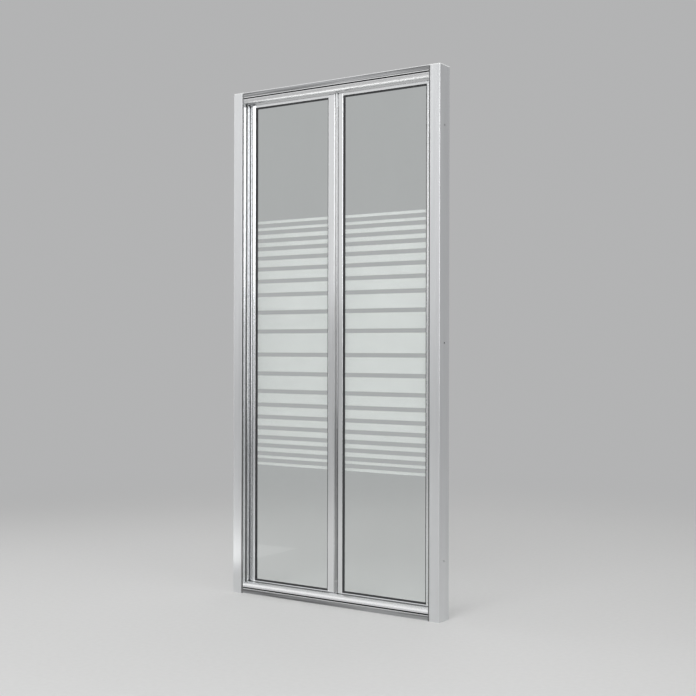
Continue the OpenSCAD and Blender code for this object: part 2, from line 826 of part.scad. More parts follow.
module left_wall_profile() { color("silver") in_frame() left_side() wall_profile(); }
module right_wall_profile() { color("silver") in_frame() wall_profile(); }
module left_side_frame() { color("lightgray") in_frame() left_side() side_frame(); }
module right_side_frame() { color("lightgray") in_frame() side_frame(); }
module left_jamb_cap() { color("whitesmoke") in_frame() left_side() jamb_cap(); }
module right_jamb_cap() { color("whitesmoke") in_frame() jamb_cap(); }
module head_rail() { color("gainsboro") in_frame() from_top() rail(); }
module sill_rail() { color("gainsboro") in_frame() rail(); }
module rail_corner_screws() { color("gray") in_frame() both_sides() corner_screws(); }
module frame_fixing_screws() { color("gray") in_frame() both_sides() fixing_screws(); }
module hinge_side_seal() { color("dimgray") in_frame() left_side() side_bulb(); }
module strike_magnet() { color("dimgray") in_frame() strike(); }

module bottom_pivot_block() { color("white") in_frame() left_side() pivot_block(); }
module top_pivot_block() { color("white") in_frame() from_top() left_side() pivot_block(); }
module bottom_pivot_pin() { color("gray") in_frame() left_side() pivot_pin(leaf_lift); }
module top_pivot_pin() { color("gray") in_frame() from_top() left_side() pivot_pin(leaf_drop); }
module pivot_block_screws() {
  color("gray") in_frame() left_side() {
    block_screws();
    from_top() block_screws();
  }
}
module pivot_washers() {
  color("white") in_frame() left_side() {
    pivot_washer(leaf_lift);
    from_top() pivot_washer(leaf_drop);
  }
}

module left_outer_stile() { color("silver") left_leaf() outer_stile(); }
module left_hinge_stile() {
  color("silver") left_leaf() difference() {
    union() {
      hinge_stile();
      translate([0, 0, barrel_low]) linear_extrude(barrel_high - barrel_low)
        hinge_barrel($edge_x + leaf_wall_t / 2);
    }
    leaf_screw_holes();
  }
}
module left_top_rail() { color("whitesmoke") left_leaf() leaf_top_rail(); }
module left_bottom_rail() { color("whitesmoke") left_leaf() leaf_rail(); }
module left_glass() { color("lightblue", 0.3) left_leaf() glass(); }
module left_glazing_gasket() { color("black") left_leaf() glazing_gasket(); }
module left_frosted_bands() { color("white") left_leaf() frosted_bands(); }
module left_pivot_bushes() {
  color("dimgray") left_leaf() {
    stile_bush();
    at_leaf_top() stile_bush();
  }
}
module left_hinge_stile_caps() {
  color("dimgray") left_leaf() {
    hinge_stile_cap();
    at_leaf_top() hinge_stile_cap();
  }
}
module left_leaf_screws() { color("gray") left_leaf() leaf_screws(); }
module left_wiper_seal() { color("lightgray") left_leaf() wiper(); }
module left_hinge_fin() { color("dimgray") left_leaf() hinge_fin(); }

module right_outer_stile() { color("silver") right_leaf() outer_stile(); }
module right_hinge_stile() {
  color("silver") right_leaf() difference() {
    hinge_stile();
    leaf_screw_holes();
    bracket_screw_holes();
    at_leaf_top() bracket_screw_holes();
  }
}
module right_top_rail() { color("whitesmoke") right_leaf() leaf_top_rail(); }
module right_bottom_rail() { color("whitesmoke") right_leaf() leaf_rail(); }
module right_glass() { color("lightblue", 0.3) right_leaf() glass(); }
module right_glazing_gasket() { color("black") right_leaf() glazing_gasket(); }
module right_frosted_bands() { color("white") right_leaf() frosted_bands(); }
module right_guide_bushes() {
  color("dimgray") right_leaf() {
    stile_bush();
    at_leaf_top() stile_bush();
  }
}
module right_leaf_screws() { color("gray") right_leaf() leaf_screws(); }
module right_wiper_seal() { color("lightgray") right_leaf() wiper(); }
module right_hinge_fin() { color("dimgray") right_leaf() hinge_fin(); }
module closing_magnet() {
  magnet_w = 6;
  magnet_t = 1.2;
  inner_r = leaf_t / 2 - leaf_wall_t;
  seat = sqrt(pow(inner_r, 2) - pow(magnet_w / 2, 2)) - slip_gap;
  low = leaf_lift + stile_cap_t + rest_gap;
  color("black") right_leaf()
    translate([pivot_x + seat - magnet_t, leaf_mid_y - magnet_w / 2, low])
      cube([magnet_t, magnet_w, leaf_h - 2 * stile_cap_t - 2 * rest_gap]);
}

module bottom_hinge_bracket() { color("silver") right_leaf() hinge_bracket(); }
module top_hinge_bracket() { color("silver") right_leaf() at_leaf_top() hinge_bracket(); }
module hinge_bracket_screws() {
  color("gray") right_leaf() {
    bracket_screws();
    at_leaf_top() bracket_screws();
  }
}
module bottom_hinge_pin() { color("gray") right_leaf() hinge_pin(); }
module top_hinge_pin() { color("gray") right_leaf() at_leaf_top() hinge_pin(); }
module hinge_washers() {
  color("white") right_leaf() {
    hinge_washer();
    at_leaf_top() hinge_washer();
  }
}

module bottom_guide_pin() { color("gray") right_leaf() guide_pin(leaf_lift); }
module top_guide_pin() { color("gray") right_leaf() from_top() guide_pin(leaf_drop); }
module roller_clips() {
  color("gray") right_leaf() {
    roller_clip();
    from_top() roller_clip();
  }
}
module bottom_guide_roller() { color("white") right_leaf() guide_roller(); }
module top_guide_roller() { color("white") right_leaf() from_top() guide_roller(); }

left_wall_profile();
right_wall_profile();
left_side_frame();
right_side_frame();
left_jamb_cap();
right_jamb_cap();
head_rail();
sill_rail();
rail_corner_screws();
frame_fixing_screws();
hinge_side_seal();
strike_magnet();
bottom_pivot_block();
top_pivot_block();
pivot_block_screws();
bottom_pivot_pin();
top_pivot_pin();
pivot_washers();
left_outer_stile();
left_hinge_stile();
left_top_rail();
left_bottom_rail();
left_glass();
left_glazing_gasket();
left_frosted_bands();
left_pivot_bushes();
left_hinge_stile_caps();
left_leaf_screws();
left_wiper_seal();
left_hinge_fin();
right_outer_stile();
right_hinge_stile();
right_top_rail();
right_bottom_rail();
right_glass();
right_glazing_gasket();
right_frosted_bands();
right_guide_bushes();
right_leaf_screws();
right_wiper_seal();
right_hinge_fin();
closing_magnet();
bottom_hinge_bracket();
top_hinge_bracket();
hinge_bracket_screws();
bottom_hinge_pin();
top_hinge_pin();
hinge_washers();
bottom_guide_pin();
top_guide_pin();
roller_clips();
bottom_guide_roller();
top_guide_roller();
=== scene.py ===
"""Finishes, glazing beads, wiper seals and studio for a framed bifold shower door."""

import json
import math

import bmesh
import bpy
from bpy.props import FloatProperty, FloatVectorProperty, PointerProperty
from mathutils import Matrix, Vector


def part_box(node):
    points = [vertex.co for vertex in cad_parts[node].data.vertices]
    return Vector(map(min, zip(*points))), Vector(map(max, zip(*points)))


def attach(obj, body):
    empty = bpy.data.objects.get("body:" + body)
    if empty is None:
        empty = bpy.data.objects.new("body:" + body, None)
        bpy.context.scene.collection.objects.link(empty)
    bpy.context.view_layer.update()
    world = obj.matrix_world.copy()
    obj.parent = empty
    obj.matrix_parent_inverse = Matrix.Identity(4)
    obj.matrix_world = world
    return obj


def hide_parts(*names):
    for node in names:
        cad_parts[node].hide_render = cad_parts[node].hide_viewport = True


bl_info = {
    "name": "Bifold shower door",
    "version": (1, 0, 0),
    "blender": (4, 5, 0),
    "location": "View3D > Sidebar > Shower door",
    "description": "Finishes, beads, wipers and studio for a framed bifold shower door",
    "category": "Object",
}

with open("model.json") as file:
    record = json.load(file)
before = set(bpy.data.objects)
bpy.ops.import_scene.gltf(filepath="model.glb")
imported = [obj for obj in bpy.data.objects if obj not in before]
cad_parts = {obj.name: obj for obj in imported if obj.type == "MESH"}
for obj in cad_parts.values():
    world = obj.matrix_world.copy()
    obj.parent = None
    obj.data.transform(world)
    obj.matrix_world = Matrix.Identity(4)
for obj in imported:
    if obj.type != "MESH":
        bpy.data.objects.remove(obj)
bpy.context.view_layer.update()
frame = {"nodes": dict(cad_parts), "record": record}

MM = 0.001
LEAVES = ("left", "right")

# Noise cells per metre along X, Y and Z, on extrusions that run along X or Z
DIE_LINES = {"x": (0.3, 900.0, 900.0), "z": (900.0, 900.0, 0.3)}
CLOUDS = {"x": (2.0, 30.0, 30.0), "z": (30.0, 30.0, 2.0)}
BRUSHING = (7.0, 1100.0, 1100.0)
PATCHES = (2.2, 190.0, 190.0)

# Zones of the aluminium sections with a tone of their own: the brushed fascias, and strips
# painted darker as shade or as a dark reflection. A pair is from and to.
FASCIA_SKIN = 0.5 * MM  # behind the fascias' front
# The groove's painted shade covers these depths, and reaches past the groove's edges onto fascia
# and nose
GROOVE_DEPTH = (0.1 * MM, 4.5 * MM)  # behind the fascias' front
GROOVE_BELOW = 0.8 * MM  # past the groove's edge, on the fascia's side
GROOVE_ABOVE = 1.6 * MM  # past the groove's edge, on the nose's side
REVEAL_SKIN = 0.6 * MM  # on either side of the side frames' front faces
FLUTE_REACH = (0.4 * MM, 2.4 * MM)  # outwards from the side frames' inner faces
FLUTE_PLACE = (-18.35 * MM, -4.15 * MM)  # in the door's depth
BARREL_HALF = 6.3 * MM  # on either side of the hinge's axis

# How far away a surface still paints shade into a groove or joint
NO_CREVICE = 0.0
RAIL_CREVICE = 6 * MM
LEAF_RAIL_CREVICE = 11 * MM

# Rays that look for crevices to paint shade into, and that round the edges
CREVICE_SAMPLES = 16
BEVEL_SAMPLES = 6

SMOOTH_ANGLE = math.radians(35)

WIPER_FOOT = 1.2 * MM  # thickness of a wiper seal's foot
WIPER_SHOULDER = 0.6  # of the foot's thickness, where its chamfers start
WIPER_CHAMFER = 0.3 * MM  # width of the chamfers along the foot
FIN_PLACE = 0.42  # of the foot's half width
FIN_LEAN = 0.9 * MM  # how far a fin's tip leans out
FIN_TAPER = 0.44  # how much of its thickness a fin loses to its tip
FIN_STEPS = 4

SENSOR_WIDTH = 36.0  # millimetres
VIEW_END = 200.0
FLOOR_RADIUS = 60.0
FLOOR_SEGMENTS = 64
FLOOR_FADE = (1.2, 4.8)  # metres from the origin
OVERHEAD_RISE = (0.45, 0.9)  # height of a direction, where 1 is straight up

# Name, place, what it faces, width and height, power setting, spread in degrees, mirrored or not
LAMPS = (
    ("key_lamp", (1.2, -3.8, 2.8), (0, 0, 0.9), (3.2, 3.2), "key_power", 180, True),
    ("nose_lamp", (-2.9, -2.9, 3.9), (0, 0, 0.9), (2.4, 2.0), "nose_power", 180, True),
    ("front_lamp", (-2.25, -3.2, 2.35), (0, 0, 1.3), (2.8, 2.4), "front_power", 180, True),
    ("low_lamp", (-1.5, 0.02, 0.06), (-1.5, 0.02, 2), (1.8, 1.15), "low_power", 180, True),
    ("near_lamp", (2.9, -3.3, 1.7), (0, 0, 1.0), (1.4, 2.6), "near_power", 180, True),
    ("right_lamp", (3.7, -0.9, 1.7), (0, 0, 1.1), (2.4, 2.6), "edge_power", 90, True),
    ("left_lamp", (-3.8, -0.8, 1.7), (0, 0, 1.1), (2.4, 2.6), "edge_power", 90, True),
    ("back_lamp", (-0.6, 3.5, 3.7), (0, 0, 0.9), (4.0, 2.8), "back_power", 180, False),
)


# ---------- settings ----------


class MetalSettings(bpy.types.PropertyGroup):
    """Colours, tones and polish of the aluminium."""

    leaf_colour: FloatVectorProperty(
        name="Leaf frames",
        description="Colour of the bright anodised leaf frames",
        default=(0.87, 0.878, 0.886),
        min=0,
        max=1,
        subtype="COLOR",
    )
    frame_colour: FloatVectorProperty(
        name="Side frames",
        description="Colour of the bright anodised side frames",
        default=(0.80, 0.81, 0.82),
        min=0,
        max=1,
        subtype="COLOR",
    )
    wall_colour: FloatVectorProperty(
        name="Wall profiles",
        description="Colour of the satin wall profiles",
        default=(0.78, 0.79, 0.80),
        min=0,
        max=1,
        subtype="COLOR",
    )
    fascia_colour: FloatVectorProperty(
        name="Brushed fascias",
        description="Colour of the brushed strips of the head and sill rails",
        default=(0.30, 0.303, 0.308),
        min=0,
        max=1,
        subtype="COLOR",
    )
    nose_colour: FloatVectorProperty(
        name="Rail noses",
        description="Colour of the bright rounded noses and tracks of the rails",
        default=(0.90, 0.905, 0.91),
        min=0,
        max=1,
        subtype="COLOR",
    )
    # Painted shade: near black, standing in for the shadow in the groove
    groove_shade_colour: FloatVectorProperty(
        name="Rail grooves",
        description="Colour in the groove between fascia and nose",
        default=(0.02, 0.02, 0.021),
        min=0,
        max=1,
        subtype="COLOR",
    )
    fascia_height: FloatProperty(
        name="Fascia height",
        description="Height of the brushed strip, from the frame's outer edge",
        default=0.019,
        min=0.01,
        max=0.03,
        subtype="DISTANCE",
    )
    groove_height: FloatProperty(
        name="Groove height",
        description="Height of the groove next to the brushed strip",
        default=0.003,
        min=0.001,
        max=0.006,
        subtype="DISTANCE",
    )
    # Partly painted highlight: the fascias' edges take the bright nose colour, as a bright-cut
    # finish with a painted highlight on it
    bright_cut_and_highlight: FloatProperty(
        name="Bright edges",
        description="Width of the bright-cut edges along the brushed strip",
        default=0.002,
        min=0.0,
        max=0.004,
        subtype="DISTANCE",
    )
    # Painted shade: the side frames' front strips and flutes are made darker where they lie in
    # shadow
    painted_reveal_shade: FloatProperty(
        name="Reveal tone",
        description="Brightness of the side frames' front strips and flutes, against the rest",
        default=0.25,
        min=0.0,
        max=1.0,
        subtype="FACTOR",
    )
    # Painted reflection: the barrel is made darker, standing in for the dark surroundings that a
    # cylinder mirrors
    barrel_dark_reflection: FloatProperty(
        name="Hinge barrel tone",
        description="Brightness of the centre hinge's barrel, against the rest",
        default=0.36,
        min=0.0,
        max=1.0,
        subtype="FACTOR",
    )
    polish: FloatProperty(
        name="Bright roughness",
        description="Roughness of the bright anodised surfaces",
        default=0.17,
        min=0.02,
        max=0.8,
        subtype="FACTOR",
    )
    satin: FloatProperty(
        name="Satin roughness",
        description="Roughness of the satin wall profiles",
        default=0.34,
        min=0.05,
        max=0.9,
        subtype="FACTOR",
    )
    edge_round: FloatProperty(
        name="Edge rounding",
        description="How far the broken edges of the metal catch the light",
        default=0.0004,
        min=0.0,
        max=0.002,
        subtype="DISTANCE",
    )


class GlassSettings(bpy.types.PropertyGroup):
    """Tint of the safety glass and its fired print."""

    tint: FloatVectorProperty(
        name="Glass tint",
        description="Colour that the clear glass takes out of what is behind it",
        default=(0.865, 0.89, 0.882),
        min=0,
        max=1,
        subtype="COLOR",
    )
    print_colour: FloatVectorProperty(
        name="Frosted print",
        description="Colour of the frosted bands",
        default=(0.965, 0.96, 0.955),
        min=0,
        max=1,
        subtype="COLOR",
    )
    print_cover: FloatProperty(
        name="Print cover",
        description="How much of what is behind a frosted band it hides",
        default=0.92,
        min=0.1,
        max=1.0,
        subtype="FACTOR",
    )


class SealSettings(bpy.types.PropertyGroup):
    """Sizes of the glazing beads and wiper seals."""

    bead_show: FloatProperty(
        name="Bead width",
        description="How far a glazing bead shows past the metal",
        default=0.0055,
        min=0.002,
        max=0.008,
        subtype="DISTANCE",
    )
    bead_thickness: FloatProperty(
        name="Bead thickness",
        description="How far a glazing bead stands off the glass at the metal",
        default=0.0018,
        min=0.0008,
        max=0.0019,
        subtype="DISTANCE",
    )
    bead_lip: FloatProperty(
        name="Bead lip",
        description="Thickness of a glazing bead's thin edge",
        default=0.0004,
        min=0.0002,
        max=0.0008,
        subtype="DISTANCE",
    )
    bead_bite: FloatProperty(
        name="Bead bite",
        description="How far a glazing bead reaches into the metal's slot",
        default=0.0012,
        min=0.0005,
        max=0.004,
        subtype="DISTANCE",
    )
    wiper_fin: FloatProperty(
        name="Wiper fin",
        description="Thickness of the fins under each leaf",
        default=0.0009,
        min=0.0005,
        max=0.0012,
        subtype="DISTANCE",
    )


class StudioSettings(bpy.types.PropertyGroup):
    """Camera, floor and lamps."""

    camera_place: FloatVectorProperty(
        name="Camera",
        description="Where the camera stands",
        default=(2.39704, -3.43556, 0.90866),
        subtype="TRANSLATION",
        unit="LENGTH",
    )
    camera_yaw: FloatProperty(
        name="Yaw",
        description="How far the camera turns to the left from looking along the depth",
        default=0.5989,
        subtype="ANGLE",
    )
    camera_pitch: FloatProperty(
        name="Pitch",
        description="How far the camera looks up",
        default=-0.00031,
        subtype="ANGLE",
    )
    camera_roll: FloatProperty(
        name="Roll",
        description="How far the camera leans",
        default=0.00198,
        subtype="ANGLE",
    )
    lens: FloatProperty(
        name="Lens",
        description="Focal length",
        default=61.344,
        min=10,
        max=300,
        subtype="DISTANCE_CAMERA",
    )
    floor_colour: FloatVectorProperty(
        name="Floor",
        description="Colour of the pale floor",
        default=(0.75, 0.75, 0.745),
        min=0,
        max=1,
        subtype="COLOR",
    )
    surround: FloatVectorProperty(
        name="Surround",
        description="Colour of the pale surround behind the door",
        default=(0.45, 0.452, 0.455),
        min=0,
        max=1,
        subtype="COLOR",
    )
    overhead: FloatVectorProperty(
        name="Overhead",
        description="Colour of the surround high above the door",
        default=(0.80, 0.80, 0.80),
        min=0,
        max=1,
        subtype="COLOR",
    )
    fill: FloatProperty(
        name="Fill light",
        description="Strength of the even light from all sides",
        default=0.42,
        min=0,
        max=2,
    )
    key_power: FloatProperty(
        name="Key lamp",
        description="Power of the large lamp high in front",
        default=94,
        min=0,
        max=2000,
        subtype="POWER",
    )
    nose_power: FloatProperty(
        name="High left lamp",
        description="Power of the lamp that draws a highlight along the rails",
        default=3,
        min=0,
        max=2000,
        subtype="POWER",
    )
    front_power: FloatProperty(
        name="Front left lamp",
        description="Power of the wide lamp that the flat front faces reflect near the top",
        default=6.5,
        min=0,
        max=2000,
        subtype="POWER",
    )
    low_power: FloatProperty(
        name="Low lamp",
        description="Power of the flat lamp near the floor that lights the head's nose",
        default=6.5,
        min=0,
        max=2000,
        subtype="POWER",
    )
    near_power: FloatProperty(
        name="Near lamp",
        description="Power of the lamp beside the camera",
        default=5,
        min=0,
        max=2000,
        subtype="POWER",
    )
    edge_power: FloatProperty(
        name="Edge lamps",
        description="Power of each tall lamp at the sides",
        default=11,
        min=0,
        max=2000,
        subtype="POWER",
    )
    back_power: FloatProperty(
        name="Back lamp",
        description="Power of the lamp on the shower side",
        default=28,
        min=0,
        max=2000,
        subtype="POWER",
    )


SETTINGS = {
    "door_metal": MetalSettings,
    "door_glass": GlassSettings,
    "door_seals": SealSettings,
    "door_studio": StudioSettings,
}


# ---------- node helpers ----------


def put(tree, kind, inputs=None, **attributes):
    """Adds a node. Sockets given as inputs are linked, and other values are set."""
    made = tree.nodes.new(kind)
    for name, value in attributes.items():
        setattr(made, name, value)
    for name, value in (inputs or {}).items():
        socket = made.inputs[name]
        if isinstance(value, bpy.types.NodeSocket):
            tree.links.new(value, socket)
        else:
            socket.default_value = value
    return made


def rgba(colour, factor=1.0):
    """A colour with its alpha, made darker or lighter by a factor."""
    return tuple(min(1.0, c * factor) for c in colour[:3]) + (1.0,)


def part_place(tree):
    """Place in the part's frame at rest, in metres, which each object's own axes repeat."""
    return put(tree, "ShaderNodeTexCoord").outputs["Object"]


def split(tree, vector):
    """X, Y and Z of a vector."""
    return put(tree, "ShaderNodeSeparateXYZ", {0: vector}).outputs


def noise(tree, cells, detail=2.0, roughness=0.5):
    """Noise with so many cells per metre: one number, or one each for X, Y and Z."""
    if not isinstance(cells, tuple):
        cells = (cells,) * 3
    place = put(tree, "ShaderNodeMapping", {"Vector": part_place(tree), "Scale": cells})
    return put(
        tree,
        "ShaderNodeTexNoise",
        {"Vector": place.outputs[0], "Scale": 1.0, "Detail": detail, "Roughness": roughness},
    ).outputs["Fac"]


def spread(tree, value, low, high, from_low=0.3, from_high=0.7, curve="LINEAR"):
    """Maps a value from a range, by default the middle of a noise, to the range low to high."""
    return put(
        tree,
        "ShaderNodeMapRange",
        {
            "Value": value,
            "From Min": from_low,
            "From Max": from_high,
            "To Min": low,
            "To Max": high,
        },
        interpolation_type=curve,
    ).outputs["Result"]


# The Mix node's sockets share their names, so these take them by number.


def mix_colour(tree, factor, a, b, blend="MIX"):
    """Colour a at factor 0 and b at 1."""
    inputs = {0: factor, 6: a, 7: b}
    return put(tree, "ShaderNodeMix", inputs, data_type="RGBA", blend_type=blend).outputs[2]


def mix_value(tree, factor, a, b):
    """Value a at factor 0 and b at 1."""
    return put(tree, "ShaderNodeMix", {0: factor, 2: a, 3: b}, data_type="FLOAT").outputs[0]


def mix_shader(tree, factor, a, b):
    """Shader a at factor 0 and b at 1."""
    return put(tree, "ShaderNodeMixShader", {0: factor, 1: a, 2: b}).outputs[0]


def calc(tree, operation, *values):
    """The value of one math node."""
    return put(tree, "ShaderNodeMath", dict(enumerate(values)), operation=operation).outputs[0]


def between(tree, value, low, high):
    """1 where a value lies from low to high, and 0 elsewhere."""
    return calc(tree, "COMPARE", value, (low + high) / 2, (high - low) / 2)


def new_material(name):
    """An empty material and its node tree."""
    material = bpy.data.materials.new(name)
    material.use_nodes = True
    material.node_tree.nodes.clear()
    return material, material.node_tree


def close(tree, shader):
    """Puts a shader on the material's output."""
    put(tree, "ShaderNodeOutputMaterial", {"Surface": shader})


def principled(tree, sockets):
    """Ends a material in a Principled shader."""
    close(tree, put(tree, "ShaderNodeBsdfPrincipled", sockets).outputs[0])


def blended(tree, fine, coarse, fine_share, coarse_range=(0.3, 0.7)):
    """A fine and a coarse noise as one value from 0 to 1."""
    return calc(
        tree,
        "ADD",
        spread(tree, fine, 0.0, fine_share),
        spread(tree, coarse, 0.0, 1.0 - fine_share, *coarse_range),
    )


def tones(tree, value, colour, dark, light):
    """A colour that goes from dark to light times itself, as a value goes from 0 to 1."""
    return mix_colour(tree, value, rgba(colour, dark), rgba(colour, light))


def bumped(tree, height, strength, distance, rounding=0.0):
    """Normal with a fine relief, and with rounded edges where rounding is set."""
    inputs = {"Height": height, "Strength": strength, "Distance": distance}
    if rounding:
        bevel = put(tree, "ShaderNodeBevel", {"Radius": rounding}, samples=BEVEL_SAMPLES)
        inputs["Normal"] = bevel.outputs[0]
    return put(tree, "ShaderNodeBump", inputs).outputs[0]


def painted_crevice_shade(tree, colour, reach, darkest=0.15):
    """Paints shade into a colour in narrow grooves and joints, darker where other surfaces are
    near.
    """
    nearby = put(
        tree, "ShaderNodeAmbientOcclusion", {"Distance": reach}, samples=CREVICE_SAMPLES
    )
    shade = spread(tree, nearby.outputs["AO"], darkest, 1.0, from_low=0.25, from_high=0.7)
    grey = put(tree, "ShaderNodeCombineColor", {0: shade, 1: shade, 2: shade}).outputs[0]
    return mix_colour(tree, 1.0, colour, grey, "MULTIPLY")


# ---------- finishes ----------


def in_strip(tree, limits):
    """1 inside a strip of an extrusion's section, given as (axis, low, high) rows.

    X counts alike on both sides of the door.
    """
    here = split(tree, part_place(tree))
    inside = 1.0
    for axis, low, high in limits:
        value = here[axis]
        if axis == "X":
            value = calc(tree, "ABSOLUTE", value)
        inside = calc(tree, "MULTIPLY", inside, between(tree, value, low, high))
    return inside


def extruded_metal(name, colour, roughness, along, rounding, crevice=NO_CREVICE, strips=()):
    """Bright anodised extrusion: die lines along its length and slow changes of tone.

    Each strip is (factor, limits), a part of the section painted darker, as shade or as a dark
    reflection. Where crevice is set, shade is painted into narrow grooves and joints.
    """
    material, tree = new_material(name)
    lines = noise(tree, DIE_LINES[along], 4.0, 0.65)
    cloud = noise(tree, CLOUDS[along])
    base = tones(tree, blended(tree, lines, cloud, 0.55), colour, 0.93, 1.04)
    # Strips painted darker, as shade or as a dark reflection
    for factor, limits in strips:
        base = mix_colour(tree, in_strip(tree, limits), base, rgba(colour, factor))
    # Painted shade in narrow grooves and joints, where crevice is set
    if crevice:
        base = painted_crevice_shade(tree, base, crevice)
    fine_rough = spread(tree, lines, roughness - 0.035, roughness + 0.05)
    shine = calc(tree, "ADD", fine_rough, spread(tree, cloud, -0.02, 0.03))
    principled(
        tree,
        {
            "Base Color": base,
            "Metallic": 1.0,
            "Roughness": shine,
            "Normal": bumped(tree, lines, 0.15, 0.03 * MM, rounding),
        },
    )
    return material


def rail_zones(tree, settings):
    """Height from the frame's outer edge, and 1 where a rail is fascia and where shade is painted
    in and beside the groove.
    """
    head_low, head_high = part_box("head_rail")
    here = split(tree, part_place(tree))
    below_head = calc(tree, "SUBTRACT", head_high.z, here["Z"])
    from_edge = calc(tree, "MINIMUM", here["Z"], below_head)
    behind_front = calc(tree, "SUBTRACT", here["Y"], head_low.y)
    is_fascia = calc(tree, "LESS_THAN", behind_front, FASCIA_SKIN)
    groove_low = settings.fascia_height - GROOVE_BELOW
    groove_high = settings.fascia_height + settings.groove_height + GROOVE_ABOVE
    in_height = between(tree, from_edge, groove_low, groove_high)
    is_groove_shade = calc(tree, "MULTIPLY", in_height, between(tree, behind_front, *GROOVE_DEPTH))
    return from_edge, is_fascia, is_groove_shade


def rail_metal(name, settings):
    """Head and sill rails: brushed fascia with bright edges that carry a painted highlight,
    painted shade in and beside the groove, and a bright nose and track.
    """
    material, tree = new_material(name)
    lines = noise(tree, DIE_LINES["x"], 4.0, 0.65)
    cloud = noise(tree, CLOUDS["x"])
    brush = noise(tree, BRUSHING, 6.0, 0.75)
    patches = noise(tree, PATCHES, 3.0, 0.6)
    from_edge, is_fascia, is_groove_shade = rail_zones(tree, settings)
    bright = tones(tree, blended(tree, lines, cloud, 0.55), settings.nose_colour, 0.95, 1.03)
    streaks = blended(tree, brush, patches, 0.3, (0.38, 0.62))
    brushed = tones(tree, streaks, settings.fascia_colour, 0.4, 1.75)
    # The brushed strip's edges get the bright nose colour: bright-cut edges with a painted
    # highlight
    cut = settings.bright_cut_and_highlight
    inside = between(tree, from_edge, cut, settings.fascia_height - cut)
    brushed = mix_colour(tree, inside, rgba(settings.nose_colour), brushed)
    base = mix_colour(tree, is_fascia, bright, brushed)
    # Painted shade in the groove and a little past its edges
    base = mix_colour(tree, is_groove_shade, base, rgba(settings.groove_shade_colour))
    bright_rough = spread(tree, lines, settings.polish + 0.08, settings.polish + 0.14)
    fascia_rough = spread(tree, brush, 0.3, 0.48)
    relief = mix_value(tree, is_fascia, lines, brush)
    principled(
        tree,
        {
            # Painted shade in the rails' narrow grooves and joints
            "Base Color": painted_crevice_shade(tree, base, RAIL_CREVICE),
            "Metallic": 1.0,
            "Roughness": mix_value(tree, is_fascia, bright_rough, fascia_rough),
            "Normal": bumped(tree, relief, 0.1, 0.03 * MM),
        },
    )
    return material


def turned_steel(name, colour, roughness):
    """Turned or headed steel: rings and light machining marks."""
    material, tree = new_material(name)
    marks = noise(tree, (300.0, 300.0, 2600.0), 4.0, 0.7)
    principled(
        tree,
        {
            "Base Color": tones(tree, spread(tree, marks, 0, 1), colour, 0.82, 1.1),
            "Metallic": 1.0,
            "Roughness": spread(tree, marks, roughness - 0.06, roughness + 0.1),
            "Normal": bumped(tree, marks, 0.3, 0.03 * MM, 0.2 * MM),
        },
    )
    return material


def cast_chrome(name, colour):
    """Plated casting: polished, with the faint waves of the casting below."""
    material, tree = new_material(name)
    waves = noise(tree, 160.0)
    pits = noise(tree, 1500.0, 4.0, 0.7)
    principled(
        tree,
        {
            "Base Color": tones(tree, spread(tree, pits, 0, 1), colour, 0.9, 1.04),
            "Metallic": 1.0,
            "Roughness": spread(tree, pits, 0.08, 0.2),
            "Normal": bumped(tree, waves, 0.2, 0.1 * MM, 0.4 * MM),
        },
    )
    return material


def moulded_plastic(name, colour, roughness, texture=1400.0, relief=0.04 * MM):
    """Injection-moulded plastic: a fine skin, slow tone changes and a soft sheen."""
    material, tree = new_material(name)
    skin = noise(tree, texture, 3.0, 0.6)
    flow = noise(tree, 45.0)
    principled(
        tree,
        {
            "Base Color": tones(tree, blended(tree, skin, flow, 0.4), colour, 0.9, 1.06),
            "Roughness": spread(tree, skin, roughness - 0.06, roughness + 0.08),
            "Normal": bumped(tree, skin, 0.3, relief, 0.3 * MM),
        },
    )
    return material


def extruded_rubber(name, colour, roughness):
    """Black or grey extruded rubber: faint lines up its length and a little dust."""
    material, tree = new_material(name)
    lines = noise(tree, DIE_LINES["z"], 3.0, 0.6)
    dust = noise(tree, 120.0, 4.0, 0.6)
    principled(
        tree,
        {
            "Base Color": tones(tree, blended(tree, lines, dust, 0.5), colour, 0.8, 1.5),
            "Roughness": spread(tree, dust, roughness - 0.08, roughness + 0.12),
            "Normal": bumped(tree, lines, 0.25, 0.04 * MM),
        },
    )
    return material


def clear_seal(name):
    """Translucent flexible vinyl of the wiper seals."""
    material, tree = new_material(name)
    lines = noise(tree, DIE_LINES["x"], 3.0, 0.6)
    haze = noise(tree, 60.0, 3.0)
    dull, clean = rgba((0.74, 0.78, 0.78)), rgba((0.86, 0.89, 0.89))
    principled(
        tree,
        {
            "Base Color": mix_colour(tree, spread(tree, haze, 0, 1), dull, clean),
            "Roughness": spread(tree, haze, 0.22, 0.38),
            "Transmission Weight": 0.55,
            "IOR": 1.53,
            "Normal": bumped(tree, lines, 0.2, 0.03 * MM),
        },
    )
    return material


def safety_glass(name, tint):
    """Clear toughened glass: the faintest roller wave, and lamps shine through it."""
    material, tree = new_material(name)
    wave = noise(tree, (1.5, 1.5, 9.0), 1.0)
    smear = noise(tree, (7.0, 7.0, 4.0), 5.0, 0.6)
    glass = put(
        tree,
        "ShaderNodeBsdfPrincipled",
        {
            "Base Color": tones(tree, spread(tree, smear, 0, 1), tint, 0.985, 1.005),
            "Roughness": spread(tree, smear, 0.0, 0.012),
            "Transmission Weight": 1.0,
            "IOR": 1.5,
            "Normal": bumped(tree, wave, 0.08, 0.2 * MM),
        },
    )
    one_face = rgba([math.sqrt(c) for c in tint])
    passing = put(tree, "ShaderNodeBsdfTransparent", {"Color": one_face})
    is_shadow = put(tree, "ShaderNodeLightPath").outputs["Is Shadow Ray"]
    close(tree, mix_shader(tree, is_shadow, glass.outputs[0], passing.outputs[0]))
    return material


